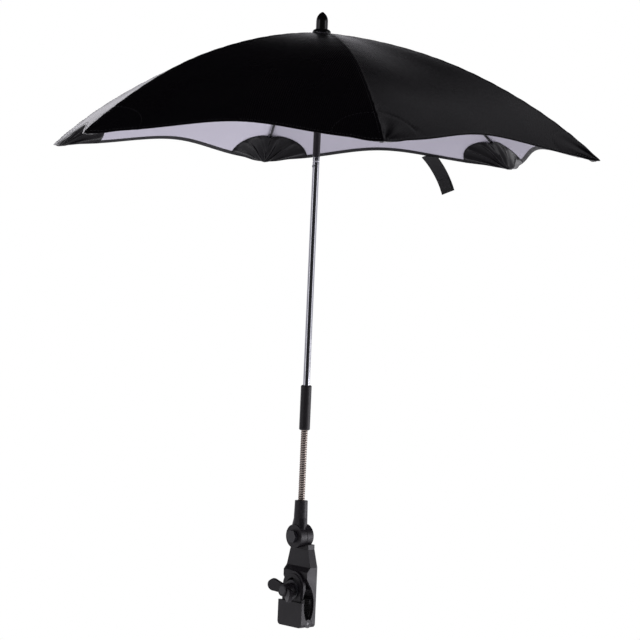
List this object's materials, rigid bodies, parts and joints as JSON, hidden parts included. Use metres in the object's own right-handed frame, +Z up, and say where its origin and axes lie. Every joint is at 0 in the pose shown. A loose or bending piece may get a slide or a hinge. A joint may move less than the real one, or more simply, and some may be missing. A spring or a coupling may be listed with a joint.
{
  "type": "pram parasol",
  "caption": "Pram parasol: a scalloped domed cloth canopy on folding ribs, a telescopic chromed mast, a bendable gooseneck, a tilt knuckle and a wing-screw clamp for a round frame tube.",
  "frame": {"origin": "middle of the clamp's tube seat, on the axis of the tube that it grips", "axes": "+X along the gripped tube, -Y towards the wing screw, +Z up the mast"},
  "size_m": [0.6354, 0.7338, 0.7915],
  "materials": {
    "black_plastic": "moulded, fine spark texture",
    "gloss_plastic": "moulded, polished",
    "rubber": "matt",
    "chrome": "bright plated",
    "zinc": "zinc plated",
    "black_steel": "black oxide",
    "rib_paint": "black paint, satin",
    "canopy_cloth": "coated polyester weave, black outside, silver grey inside",
    "strap_cloth": "woven tape"
  },
  "bodies": {
    "clamp": {"clamp_body": "black_plastic", "rear_liner": "rubber", "jaw_pin": "black_steel", "trapped_nut": "zinc", "hinge_bolt": "black_steel", "hinge_nut": "black_steel", "friction_washer": "black_plastic"},
    "jaw": {"front_jaw": "black_plastic", "front_liner": "rubber"},
    "thrust_washer": {"screw_washer": "black_steel"},
    "wing_screw": {"wing_knob": "black_plastic", "clamp_screw": "black_steel"},
    "socket": {"socket": "black_plastic", "gooseneck_lower": "chrome"},
    "gooseneck": {"gooseneck_upper": "chrome"},
    "mast_lower": {"sleeve": "black_plastic", "lower_tube": "chrome", "collar": "black_plastic", "collar_rivet": "zinc"},
    "mast_upper": {"upper_tube": "chrome", "crown": "black_plastic", "crown_wire": "zinc", "finial": "gloss_plastic"},
    "runner": {"runner": "black_plastic"},
    "rib_1": {"rib_1": "rib_paint", "rib_tip_1": "black_plastic", "joint_rivet_1": "zinc", "canopy_panel_1": "canopy_cloth"},
    "stretcher_1": {"stretcher_1": "rib_paint"},
    "rib_2": {"rib_2": "rib_paint", "rib_tip_2": "black_plastic", "joint_rivet_2": "zinc", "canopy_panel_2": "canopy_cloth"},
    "stretcher_2": {"stretcher_2": "rib_paint"},
    "rib_3": {"rib_3": "rib_paint", "rib_tip_3": "black_plastic", "joint_rivet_3": "zinc", "canopy_panel_3": "canopy_cloth"},
    "stretcher_3": {"stretcher_3": "rib_paint"},
    "rib_4": {"rib_4": "rib_paint", "rib_tip_4": "black_plastic", "joint_rivet_4": "zinc", "canopy_panel_4": "canopy_cloth", "closure_strap": "strap_cloth", "strap_hook_pad": "strap_cloth"},
    "stretcher_4": {"stretcher_4": "rib_paint"},
    "rib_5": {"rib_5": "rib_paint", "rib_tip_5": "black_plastic", "joint_rivet_5": "zinc", "canopy_panel_5": "canopy_cloth"},
    "stretcher_5": {"stretcher_5": "rib_paint"},
    "rib_6": {"rib_6": "rib_paint", "rib_tip_6": "black_plastic", "joint_rivet_6": "zinc", "canopy_panel_6": "canopy_cloth"},
    "stretcher_6": {"stretcher_6": "rib_paint"}
  },
  "joints": [
    {"name": "screw_travel", "type": "slide", "parent": "clamp", "child": "thrust_washer", "axis": [0, -1, 0], "range_m": [0, 0.0121]},
    {"name": "wing_screw_turn", "type": "hinge", "parent": "thrust_washer", "child": "wing_screw", "pos_m": [0, 0, 0.023], "axis": [0, -1, 0], "range_deg": [0, 4320]},
    {"name": "jaw_swing", "type": "hinge", "parent": "clamp", "child": "jaw", "pos_m": [0, 0, -0.019], "axis": [1, 0, 0], "range_deg": [0, 11.6]},
    {"name": "knuckle_tilt", "type": "hinge", "parent": "clamp", "child": "socket", "pos_m": [0, 0, 0.092], "axis": [0, 1, 0], "range_deg": [-85, 85]},
    {"name": "gooseneck_bend_fore", "type": "hinge", "parent": "socket", "child": "gooseneck", "pos_m": [0, 0, 0.1606], "axis": [1, 0, 0], "range_deg": [-60, 60], "deforming": ["gooseneck_lower"]},
    {"name": "gooseneck_bend_side", "type": "hinge", "parent": "gooseneck", "child": "mast_lower", "pos_m": [0, 0, 0.2062], "axis": [0, 1, 0], "range_deg": [-60, 60], "deforming": ["gooseneck_upper"]},
    {"name": "mast_telescope", "type": "slide", "parent": "mast_lower", "child": "mast_upper", "axis": [0, 0, 1], "range_m": [-0.1, 0]},
    {"name": "canopy_fold", "type": "hinge", "parent": "mast_upper", "child": "rib_1", "pos_m": [0, -0.0095, 0.736], "axis": [1, 0, 0], "range_deg": [0, 67], "deforming": ["canopy_panel_1"]},
    {"name": "stretcher_swing_1", "type": "hinge", "parent": "rib_1", "child": "stretcher_1", "pos_m": [0, -0.15529, 0.70072], "axis": [1, 0, 0], "range_deg": [-134.2, 0.2]},
    {"name": "rib_fold_2", "type": "hinge", "parent": "mast_upper", "child": "rib_2", "pos_m": [0.00823, -0.00475, 0.736], "axis": [0.5, 0.866, 0], "range_deg": [-0.1, 67.1], "deforming": ["canopy_panel_2"]},
    {"name": "stretcher_swing_2", "type": "hinge", "parent": "rib_2", "child": "stretcher_2", "pos_m": [0.13449, -0.07765, 0.70072], "axis": [0.5, 0.866, 0], "range_deg": [-134.2, 0.2]},
    {"name": "rib_fold_3", "type": "hinge", "parent": "mast_upper", "child": "rib_3", "pos_m": [0.00823, 0.00475, 0.736], "axis": [-0.5, 0.866, 0], "range_deg": [-0.1, 67.1], "deforming": ["canopy_panel_3"]},
    {"name": "stretcher_swing_3", "type": "hinge", "parent": "rib_3", "child": "stretcher_3", "pos_m": [0.13449, 0.07765, 0.70072], "axis": [-0.5, 0.866, 0], "range_deg": [-134.2, 0.2]},
    {"name": "rib_fold_4", "type": "hinge", "parent": "mast_upper", "child": "rib_4", "pos_m": [0, 0.0095, 0.736], "axis": [-1, 0, 0], "range_deg": [-0.1, 67.1], "deforming": ["canopy_panel_4", "closure_strap", "strap_hook_pad"]},
    {"name": "stretcher_swing_4", "type": "hinge", "parent": "rib_4", "child": "stretcher_4", "pos_m": [0, 0.15529, 0.70072], "axis": [-1, 0, 0], "range_deg": [-134.2, 0.2]},
    {"name": "rib_fold_5", "type": "hinge", "parent": "mast_upper", "child": "rib_5", "pos_m": [-0.00823, 0.00475, 0.736], "axis": [-0.5, -0.866, 0], "range_deg": [-0.1, 67.1], "deforming": ["canopy_panel_5"]},
    {"name": "stretcher_swing_5", "type": "hinge", "parent": "rib_5", "child": "stretcher_5", "pos_m": [-0.13449, 0.07765, 0.70072], "axis": [-0.5, -0.866, 0], "range_deg": [-134.2, 0.2]},
    {"name": "rib_fold_6", "type": "hinge", "parent": "mast_upper", "child": "rib_6", "pos_m": [-0.00823, -0.00475, 0.736], "axis": [0.5, -0.866, 0], "range_deg": [-0.1, 67.1], "deforming": ["canopy_panel_6"]},
    {"name": "stretcher_swing_6", "type": "hinge", "parent": "rib_6", "child": "stretcher_6", "pos_m": [-0.13449, -0.07765, 0.70072], "axis": [0.5, -0.866, 0], "range_deg": [-134.2, 0.2]},
    {"name": "runner_slide", "type": "slide", "parent": "mast_upper", "child": "runner", "axis": [0, 0, -1], "range_m": [0, 0.22592]}
  ],
  "couplings": [
    {"joint": "screw_travel", "follows": "wing_screw_turn", "m_per_rad": 0.00015915},
    {"joint": "jaw_swing", "follows": "wing_screw_turn", "ratio": 0.002662},
    {"joint": "stretcher_swing_1", "follows": "canopy_fold", "ratio": -2},
    {"joint": "rib_fold_2", "follows": "canopy_fold", "ratio": 1},
    {"joint": "stretcher_swing_2", "follows": "canopy_fold", "ratio": -2},
    {"joint": "rib_fold_3", "follows": "canopy_fold", "ratio": 1},
    {"joint": "stretcher_swing_3", "follows": "canopy_fold", "ratio": -2},
    {"joint": "rib_fold_4", "follows": "canopy_fold", "ratio": 1},
    {"joint": "stretcher_swing_4", "follows": "canopy_fold", "ratio": -2},
    {"joint": "rib_fold_5", "follows": "canopy_fold", "ratio": 1},
    {"joint": "stretcher_swing_5", "follows": "canopy_fold", "ratio": -2},
    {"joint": "rib_fold_6", "follows": "canopy_fold", "ratio": 1},
    {"joint": "stretcher_swing_6", "follows": "canopy_fold", "ratio": -2},
    {"joint": "runner_slide", "follows": "canopy_fold", "m_per_rad": 0.19277}
  ]
}
